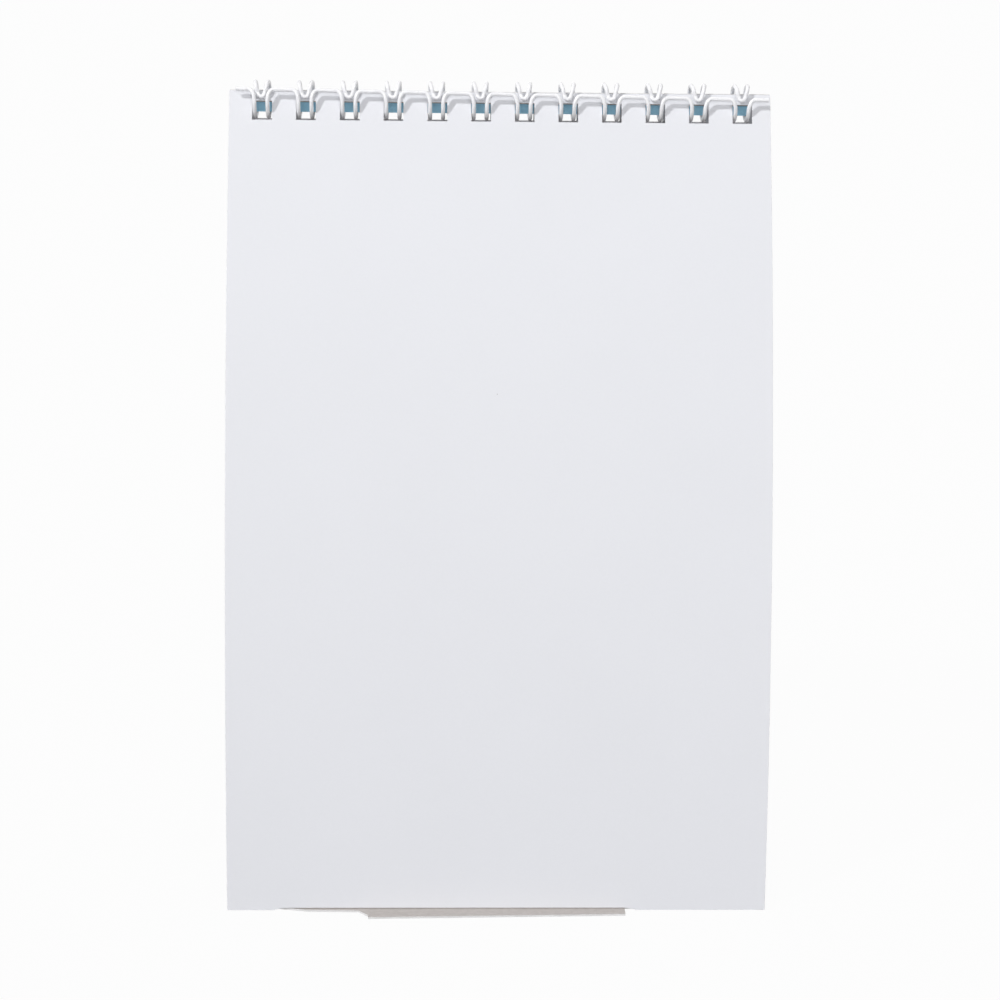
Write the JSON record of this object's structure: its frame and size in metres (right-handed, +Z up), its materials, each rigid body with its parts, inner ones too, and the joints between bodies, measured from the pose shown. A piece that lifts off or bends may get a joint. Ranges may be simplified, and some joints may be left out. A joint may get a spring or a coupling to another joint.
{
  "type": "desk calendar",
  "caption": "Small upright desk calendar: a folding card tent with hanging leaves, held along the top by a twin-loop wire binding.",
  "frame": {"origin": "on the base panel's underside, straight below the binding's axis and halfway along it", "axes": "+Z up from the desk, +X along the binding, +Y towards the leaves, so the blank rear card faces -Y"},
  "size_m": [0.105, 0.0862, 0.1566],
  "materials": {
    "card": "white coated card, satin",
    "wire": "white nylon-coated steel wire",
    "leaf": "smooth printed paper",
    "cover": "smooth printed paper, blue"
  },
  "bodies": {
    "rear_card": {"rear_card": "card"},
    "front_card": {"front_card": "card"},
    "base_panel": {"base_panel": "card"},
    "binding_wire": {"binding_wire": "wire"},
    "month_leaf_1": {"month_leaf_1": "leaf"},
    "month_leaf_2": {"month_leaf_2": "leaf"},
    "month_leaf_3": {"month_leaf_3": "leaf"},
    "month_leaf_4": {"month_leaf_4": "leaf"},
    "month_leaf_5": {"month_leaf_5": "leaf"},
    "month_leaf_6": {"month_leaf_6": "leaf"},
    "cover_leaf": {"cover_leaf": "cover"}
  },
  "joints": [
    {"name": "stand_fold", "type": "hinge", "parent": "rear_card", "child": "front_card", "pos_m": [0, 0, 0.15281], "axis": [-1, 0, 0], "range_deg": [0, 28.5]},
    {"name": "base_fold", "type": "hinge", "parent": "front_card", "child": "base_panel", "pos_m": [0, 0.04214, 0.0004], "axis": [1, 0, 0], "range_deg": [0, 105]},
    {"name": "wire_roll", "type": "hinge", "parent": "rear_card", "child": "binding_wire", "pos_m": [0, 0, 0.15281], "axis": [1, 0, 0], "range_deg": [-20, 26]},
    {"name": "leaf_fan", "type": "hinge", "parent": "front_card", "child": "month_leaf_6", "pos_m": [0, 0, 0.15281], "axis": [1, 0, 0], "range_deg": [0, 65]},
    {"name": "leaf_5_fan", "type": "hinge", "parent": "front_card", "child": "month_leaf_5", "pos_m": [0, 0, 0.15281], "axis": [1, 0, 0], "range_deg": [0, 54.2]},
    {"name": "leaf_4_fan", "type": "hinge", "parent": "front_card", "child": "month_leaf_4", "pos_m": [0, 0, 0.15281], "axis": [1, 0, 0], "range_deg": [0, 43.4]},
    {"name": "leaf_3_fan", "type": "hinge", "parent": "front_card", "child": "month_leaf_3", "pos_m": [0, 0, 0.15281], "axis": [1, 0, 0], "range_deg": [0, 32.5]},
    {"name": "leaf_2_fan", "type": "hinge", "parent": "front_card", "child": "month_leaf_2", "pos_m": [0, 0, 0.15281], "axis": [1, 0, 0], "range_deg": [0, 21.7]},
    {"name": "leaf_1_fan", "type": "hinge", "parent": "front_card", "child": "month_leaf_1", "pos_m": [0, 0, 0.15281], "axis": [1, 0, 0], "range_deg": [0, 10.9]},
    {"name": "cover_turn", "type": "hinge", "parent": "month_leaf_6", "child": "cover_leaf", "pos_m": [0, 0, 0.15281], "axis": [1, 0, 0], "range_deg": [0, 38]}
  ],
  "couplings": [
    {"joint": "base_fold", "follows": "stand_fold", "ratio": 3.684},
    {"joint": "leaf_5_fan", "follows": "leaf_fan", "ratio": 0.833},
    {"joint": "leaf_4_fan", "follows": "leaf_fan", "ratio": 0.667},
    {"joint": "leaf_3_fan", "follows": "leaf_fan", "ratio": 0.5},
    {"joint": "leaf_2_fan", "follows": "leaf_fan", "ratio": 0.333},
    {"joint": "leaf_1_fan", "follows": "leaf_fan", "ratio": 0.167}
  ]
}
